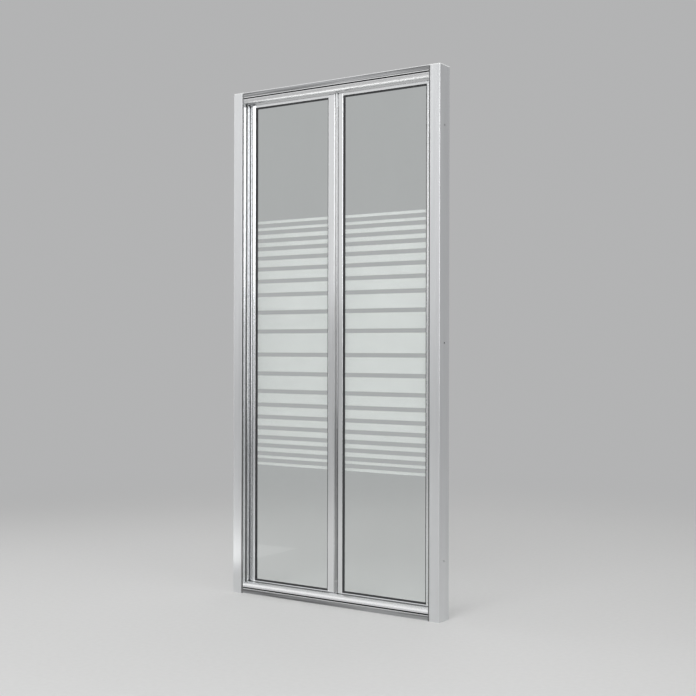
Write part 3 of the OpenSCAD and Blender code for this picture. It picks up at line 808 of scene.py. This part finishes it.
def frosted_print(name, colour, cover):
    """Fired frosted print: fine grains of white enamel that let some light through."""
    material, tree = new_material(name)
    grain = noise(tree, 1800.0, 2.0, 0.7)
    cloud = noise(tree, (12.0, 12.0, 40.0), 3.0)
    fine_cover = spread(tree, grain, cover - 0.12, cover + 0.08)
    principled(
        tree,
        {
            "Base Color": tones(tree, spread(tree, grain, 0, 1), colour, 0.92, 1.03),
            "Roughness": spread(tree, grain, 0.5, 0.75),
            "Alpha": calc(tree, "ADD", fine_cover, spread(tree, cloud, -0.02, 0.02)),
            "Normal": bumped(tree, grain, 0.2, 0.02 * MM),
        },
    )
    return material


def painted_dark_strips(metal):
    """Strips painted darker, each with its tone: shade on the side frames' reveals and flutes,
    and a dark reflection on the hinge's barrel.
    """
    frame_low, frame_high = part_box("left_side_frame")
    front, inner = frame_low.y, abs(frame_high.x)
    # Painted shade on the reveal and in the flute
    reveal = [("Y", front - REVEAL_SKIN, front + REVEAL_SKIN)]
    flute = [("X", inner + FLUTE_REACH[0], inner + FLUTE_REACH[1]), ("Y", *FLUTE_PLACE)]
    # Painted dark reflection on the hinge's barrel
    barrel = [("X", -BARREL_HALF, BARREL_HALF)]
    frame_shade_strips = [(metal.painted_reveal_shade, reveal), (metal.painted_reveal_shade, flute)]
    return frame_shade_strips, [(metal.barrel_dark_reflection, barrel)]


def make_finishes(scene):
    """One material for each of the record's material slots, and one for the leaves' rails."""
    metal, glass = scene.door_metal, scene.door_glass
    polish, edge = metal.polish, metal.edge_round
    frame_shade_strips, barrel_reflection_strips = painted_dark_strips(metal)
    # Each slot's maker, and what the maker takes after the name
    makers = {
        "wall_profile_aluminium": (extruded_metal, metal.wall_colour, metal.satin, "z", edge),
        "frame_aluminium": (
            extruded_metal, metal.frame_colour, polish, "z", edge, NO_CREVICE, frame_shade_strips
        ),
        # The leaf frames carry the barrel's painted dark reflection
        "leaf_aluminium": (
            extruded_metal, metal.leaf_colour, polish, "z", edge, NO_CREVICE, barrel_reflection_strips
        ),
        # The leaf rails get painted shade in their crevices, such as under the head's nose
        "leaf_rail_aluminium": (
            extruded_metal, metal.leaf_colour, polish, "x", edge, LEAF_RAIL_CREVICE
        ),
        "rail_aluminium": (rail_metal, metal),
        "cap_plastic": (moulded_plastic, (0.82, 0.83, 0.83), 0.25, 700.0, 0.02 * MM),
        "screw_steel": (turned_steel, (0.60, 0.61, 0.62), 0.3),
        "pin_steel": (turned_steel, (0.66, 0.67, 0.68), 0.22),
        "clear_seal": (clear_seal,),
        "black_rubber": (extruded_rubber, (0.018, 0.018, 0.02), 0.5),
        "grey_seal": (extruded_rubber, (0.13, 0.135, 0.14), 0.55),
        "magnet_strip": (extruded_rubber, (0.07, 0.07, 0.075), 0.6),
        "block_nylon": (moulded_plastic, (0.72, 0.72, 0.69), 0.5),
        "washer_nylon": (moulded_plastic, (0.80, 0.80, 0.77), 0.4),
        "roller_nylon": (moulded_plastic, (0.78, 0.78, 0.74), 0.32, 900.0),
        "grey_plastic": (moulded_plastic, (0.30, 0.31, 0.32), 0.5, 1100.0, 0.06 * MM),
        "bracket_chrome": (cast_chrome, (0.36, 0.365, 0.37)),
        "clear_glass": (safety_glass, glass.tint),
        "frosted_print": (frosted_print, glass.print_colour, glass.print_cover),
    }
    return {slot: maker(slot, *values) for slot, (maker, *values) in makers.items()}


FINISHES = {}


def finish_of(slot):
    """The material of one slot, made with the others on first use."""
    if not FINISHES:
        FINISHES.update(make_finishes(bpy.context.scene))
    return FINISHES[slot]


def dress(piece, material):
    """Puts one material on all of a piece's slots."""
    if not piece.material_slots:
        piece.data.materials.append(material)
    for holder in piece.material_slots:
        holder.material = material


# ---------- mesh helpers ----------


def new_piece(name, body, slot, loops, closed):
    """A mesh piece skinned over loops of points in the part's frame, riding on a body."""
    mesh = bpy.data.meshes.new(name)
    shape = bmesh.new()
    join_loops(shape, loops, closed)
    bmesh.ops.recalc_face_normals(shape, faces=shape.faces)
    shape.to_mesh(mesh)
    shape.free()
    mesh.shade_smooth()
    mesh.set_sharp_from_angle(angle=SMOOTH_ANGLE)
    piece = bpy.data.objects.new(name, mesh)
    bpy.context.scene.collection.objects.link(piece)
    dress(piece, finish_of(slot))
    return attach(piece, body)


def join_loops(shape, loops, closed):
    """Skins a row of loops of points, each loop closed, and the row too if closed."""
    rows = [[shape.verts.new(p) for p in loop] for loop in loops]
    count = len(rows)
    for i in range(count if closed else count - 1):
        a, b = rows[i], rows[(i + 1) % count]
        for k in range(len(a)):
            n = (k + 1) % len(a)
            shape.faces.new((a[k], a[n], b[n], b[k]))
    if not closed:
        shape.faces.new(rows[0][::-1])
        shape.faces.new(rows[-1])


# ---------- glazing beads ----------


def bead_section(seals):
    """Closed outline of a bead: (reach over the glass, height off the glass)."""
    show, bite = seals.bead_show, seals.bead_bite
    thick, lip = seals.bead_thickness, seals.bead_lip
    # Shares of the bead's width and thickness, from the metal out over the glass
    crown = [(0.1, 0.98), (0.24, 1.0), (0.4, 0.93), (0.58, 0.74), (0.76, 0.5), (0.9, 0.3)]
    outline = [(-bite, 0.0), (-bite, thick * 0.9), (0.0, thick * 0.92)]
    outline += [(show * u, max(lip, thick * v)) for u, v in crown]
    outline += [(show * 0.98, lip), (show, lip * 0.5), (show, 0.0)]
    return outline


def window_of(side):
    """Inner edges of a leaf's metal: low x, high x, low z, high z."""
    stile_low, stile_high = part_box(f"{side}_outer_stile")
    hinge_low, hinge_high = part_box(f"{side}_hinge_stile")
    if side == "left":
        low_x, high_x = stile_high.x, hinge_low.x
    else:
        low_x, high_x = hinge_high.x, stile_low.x
    return (
        low_x,
        high_x,
        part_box(f"{side}_bottom_rail")[1].z,
        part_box(f"{side}_top_rail")[0].z,
    )


def bead_loops(side, face, seals):
    """A bead's outline at the four mitred corners of one face of a pane."""
    low_x, high_x, low_z, high_z = window_of(side)
    glass_low, glass_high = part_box(f"{side}_glass")
    surface, out = (glass_low.y, -1) if face == "outside" else (glass_high.y, 1)
    corners = [
        (low_x, low_z, 1, 1),
        (high_x, low_z, -1, 1),
        (high_x, high_z, -1, -1),
        (low_x, high_z, 1, -1),
    ]
    outline = bead_section(seals)
    return [
        [(x + sx * u, surface + out * v, z + sz * u) for u, v in outline]
        for x, z, sx, sz in corners
    ]


class DOOR_OT_glazing(bpy.types.Operator):
    """Make the black glazing beads round both faces of each pane."""

    bl_idname = "door.glazing"
    bl_label = "Glazing beads"

    def execute(self, context):
        seals = context.scene.door_seals
        for side in LEAVES:
            for face in ("outside", "inside"):
                bead = new_piece(
                    f"{side}_glazing_bead_{face}",
                    f"{side}_leaf",
                    "black_rubber",
                    bead_loops(side, face, seals),
                    closed=True,
                )
                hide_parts(f"{side}_glazing_gasket")
        return {"FINISHED"}


# ---------- wiper seals ----------


def wiper_section(low, high, fin):
    """Outline of a wiper seal in depth and height: a foot with two curved fins."""
    middle = (low.y + high.y) / 2
    half = (high.y - low.y) / 2
    top, bottom = high.z, low.z
    root = top - WIPER_FOOT
    shoulder = top - WIPER_FOOT * WIPER_SHOULDER

    def fin_edge(place, lean, side):
        """Points down one side of a fin, which thins and curves out to its tip."""
        points = []
        for k in range(FIN_STEPS + 1):
            t = k / FIN_STEPS
            half_fin = fin * (1 - FIN_TAPER * t) / 2
            points.append((place + lean * t * t + side * half_fin, root - (root - bottom) * t))
        return points

    outline = [(-half, shoulder), (-half + WIPER_CHAMFER, root)]
    for place, lean in ((-half * FIN_PLACE, -FIN_LEAN), (half * FIN_PLACE, FIN_LEAN)):
        outline += fin_edge(place, lean, -1)
        outline += fin_edge(place, lean, 1)[::-1]
    outline += [(half - WIPER_CHAMFER, root), (half, shoulder)]
    outline += [(half, top), (-half, top)]
    return [(middle + y, z) for y, z in outline]


def wiper_loops(side, fin):
    """A wiper seal's outline at both ends of its leaf."""
    low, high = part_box(f"{side}_wiper_seal")
    outline = wiper_section(low, high, fin)
    return [[(x, y, z) for y, z in outline] for x in (low.x, high.x)]


class DOOR_OT_wipers(bpy.types.Operator):
    """Make the two-finned wiper seals under the leaves."""

    bl_idname = "door.wipers"
    bl_label = "Wiper seals"

    def execute(self, context):
        fin = context.scene.door_seals.wiper_fin
        for side in LEAVES:
            wiper = new_piece(
                f"{side}_wiper_fins",
                f"{side}_leaf",
                "clear_seal",
                wiper_loops(side, fin),
                closed=False,
            )
            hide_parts(f"{side}_wiper_seal")
        return {"FINISHED"}


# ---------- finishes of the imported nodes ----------


class DOOR_OT_finishes(bpy.types.Operator):
    """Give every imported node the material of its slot."""

    bl_idname = "door.finishes"
    bl_label = "Finishes"

    def execute(self, context):
        # Made anew each time, so that changed settings show
        FINISHES.update(make_finishes(context.scene))
        for part in frame["record"]["subparts"]:
            node, slot = part["node"], part["material_slot"]
            if slot == "leaf_aluminium" and node.endswith("_rail"):
                slot = "leaf_rail_aluminium"
            dress(frame["nodes"][node], finish_of(slot))
        return {"FINISHED"}


# ---------- stage ----------


def floor_material(settings):
    """Pale floor that runs out into the surround, and still takes the door's shadow."""
    material, tree = new_material("studio_floor")
    speck = spread(tree, noise(tree, 60.0, 3.0), 0, 1)
    base = tones(tree, speck, settings.floor_colour, 0.985, 1.015)
    lit = put(tree, "ShaderNodeBsdfPrincipled", {"Base Color": base, "Roughness": 0.55})
    far = put(tree, "ShaderNodeEmission", {"Color": rgba(settings.surround), "Strength": 1.0})
    reach = put(tree, "ShaderNodeVectorMath", {0: part_place(tree)}, operation="LENGTH")
    fade = spread(tree, reach.outputs["Value"], 0.0, 1.0, *FLOOR_FADE, curve="SMOOTHERSTEP")
    close(tree, mix_shader(tree, fade, lit.outputs[0], far.outputs[0]))
    return material


def add_lamp(name, location, target, size, power, spread_angle, mirrored):
    """An area lamp that the camera doesn't see, and metal only where it is mirrored."""
    lamp = bpy.data.lights.new(name, "AREA")
    lamp.spread = math.radians(spread_angle)
    lamp.shape = "RECTANGLE"
    lamp.size, lamp.size_y = size
    lamp.energy = power
    holder = bpy.data.objects.new(name, lamp)
    holder.location = location
    ahead = Vector(target) - Vector(location)
    holder.rotation_euler = ahead.to_track_quat("-Z", "Y").to_euler()
    holder.visible_camera = False
    holder.visible_transmission = False
    holder.visible_glossy = mirrored
    bpy.context.scene.collection.objects.link(holder)


def surround_world(settings):
    """Even surround: a pale tone to the eye, in metal and through glass, and a fill light."""
    world = bpy.data.worlds.new("studio_surround")
    world.use_nodes = True
    tree = world.node_tree
    tree.nodes.clear()
    path = put(tree, "ShaderNodeLightPath").outputs
    seen = calc(tree, "MAXIMUM", path["Is Camera Ray"], path["Is Glossy Ray"])
    seen = calc(tree, "MAXIMUM", seen, path["Is Transmission Ray"])
    white = (1.0, 1.0, 1.0, 1.0)
    light = put(tree, "ShaderNodeBackground", {"Color": white, "Strength": settings.fill})
    ahead = split(tree, put(tree, "ShaderNodeTexCoord").outputs["Generated"])
    height = spread(tree, ahead["Z"], 0.0, 1.0, *OVERHEAD_RISE, curve="SMOOTHSTEP")
    tone = mix_colour(tree, height, rgba(settings.surround), rgba(settings.overhead))
    view = put(tree, "ShaderNodeBackground", {"Color": tone, "Strength": 1.0})
    mixed = mix_shader(tree, seen, light.outputs[0], view.outputs[0])
    put(tree, "ShaderNodeOutputWorld", {"Surface": mixed})
    return world


def camera_matrix(settings):
    """Camera axes from its yaw, pitch and roll."""
    yaw, pitch, roll = settings.camera_yaw, settings.camera_pitch, settings.camera_roll
    ahead = Vector(
        (
            -math.sin(yaw) * math.cos(pitch),
            math.cos(yaw) * math.cos(pitch),
            math.sin(pitch),
        )
    )
    level = Vector((math.cos(yaw), math.sin(yaw), 0.0))
    upright = level.cross(ahead)
    right = level * math.cos(roll) + upright * math.sin(roll)
    up = upright * math.cos(roll) - level * math.sin(roll)
    matrix = Matrix((right, up, -ahead)).transposed().to_4x4()
    matrix.translation = Vector(settings.camera_place)
    return matrix


def add_camera(settings):
    """The camera, with the photograph's view."""
    camera_data = bpy.data.cameras.new("studio_camera")
    camera_data.lens = settings.lens
    camera_data.sensor_width = SENSOR_WIDTH
    camera_data.dof.use_dof = False
    camera_data.clip_end = VIEW_END
    camera = bpy.data.objects.new("studio_camera", camera_data)
    camera.matrix_world = camera_matrix(settings)
    bpy.context.scene.collection.objects.link(camera)
    bpy.context.scene.camera = camera


def add_floor(settings):
    """A wide round floor under the door."""
    mesh = bpy.data.meshes.new("studio_floor")
    shape = bmesh.new()
    bmesh.ops.create_circle(shape, cap_ends=True, radius=FLOOR_RADIUS, segments=FLOOR_SEGMENTS)
    shape.to_mesh(mesh)
    shape.free()
    mesh.materials.append(floor_material(settings))
    floor = bpy.data.objects.new("studio_floor", mesh)
    bpy.context.scene.collection.objects.link(floor)


class DOOR_OT_stage(bpy.types.Operator):
    """Set up the camera, pale floor, surround and lamps."""

    bl_idname = "door.stage"
    bl_label = "Stage"

    def execute(self, context):
        scene, settings = context.scene, context.scene.door_studio
        add_camera(settings)
        add_floor(settings)
        scene.world = surround_world(settings)
        for name, location, target, size, power, spread_angle, mirrored in LAMPS:
            strength = getattr(settings, power)
            add_lamp(name, location, target, size, strength, spread_angle, mirrored)
        scene.view_settings.view_transform = "Standard"
        return {"FINISHED"}


# ---------- panel and registration ----------


OPERATORS = (DOOR_OT_finishes, DOOR_OT_glazing, DOOR_OT_wipers, DOOR_OT_stage)


class DOOR_PT_panel(bpy.types.Panel):
    """Settings and steps of the bifold shower door."""

    bl_idname = "DOOR_PT_panel"
    bl_label = "Bifold shower door"
    bl_space_type = "VIEW_3D"
    bl_region_type = "UI"
    bl_category = "Shower door"

    def draw(self, context):
        for name in SETTINGS:
            group = getattr(context.scene, name)
            box = self.layout.box()
            for prop in group.__annotations__:
                box.prop(group, prop)
        for operator in OPERATORS:
            self.layout.operator(operator.bl_idname)


CLASSES = (*SETTINGS.values(), *OPERATORS, DOOR_PT_panel)


def register():
    for cls in CLASSES:
        bpy.utils.register_class(cls)
    for name, group in SETTINGS.items():
        setattr(bpy.types.Scene, name, PointerProperty(type=group))


def unregister():
    for name in SETTINGS:
        delattr(bpy.types.Scene, name)
    for cls in reversed(CLASSES):
        bpy.utils.unregister_class(cls)


def corners(box):
    """A box's two corners as plain lists."""
    return [list(corner) for corner in box]


def main():
    """Makes the whole scene."""
    register()
    bpy.ops.door.finishes()
    bpy.ops.door.glazing()
    bpy.ops.door.wipers()
    bpy.ops.door.stage()


if __name__ == "__main__":
    main()
